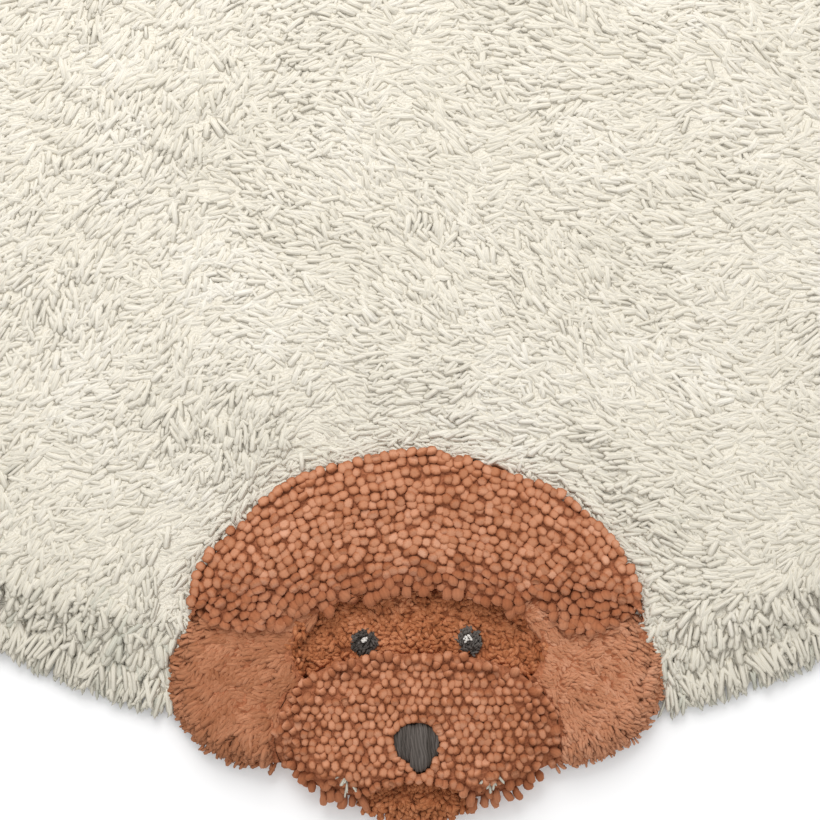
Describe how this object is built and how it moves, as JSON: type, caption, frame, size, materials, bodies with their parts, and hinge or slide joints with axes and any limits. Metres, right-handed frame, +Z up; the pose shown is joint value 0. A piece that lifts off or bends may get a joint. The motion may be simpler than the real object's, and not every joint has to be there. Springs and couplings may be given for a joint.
{
  "type": "cotton rug",
  "caption": "Round tufted cotton rug, flat on the floor: cream shag field with a curly-coated dog's head in rust pile at its front edge.",
  "frame": {"origin": "centre of the round field, on the floor", "axes": "+Z up, -Y towards the dog's chin, +X to the right as seen from above with the chin below"},
  "size_m": [1.1976, 1.2461, 0.0285],
  "materials": {
    "cream_shag": "long soft cotton shag, combed unevenly",
    "rust_knobs": "short fat knobs of cotton yarn",
    "rust_cut_pile": "fine brushed cut pile",
    "dark_rust_pile": "low crinkled cut pile",
    "charcoal_yarn": "close stitches of charcoal yarn",
    "light_yarn": "a small tuft of light yarn"
  },
  "bodies": {
    "root": {"rug": "cream_shag", "crown": "rust_knobs", "muzzle": "rust_knobs", "ear_left": "rust_cut_pile", "ear_right": "rust_cut_pile", "eye_band": "dark_rust_pile", "chin": "dark_rust_pile", "nose": "charcoal_yarn", "eye_left": "charcoal_yarn", "eye_right": "charcoal_yarn", "glint_left": "light_yarn", "glint_right": "light_yarn"}
  },
  "joints": []
}
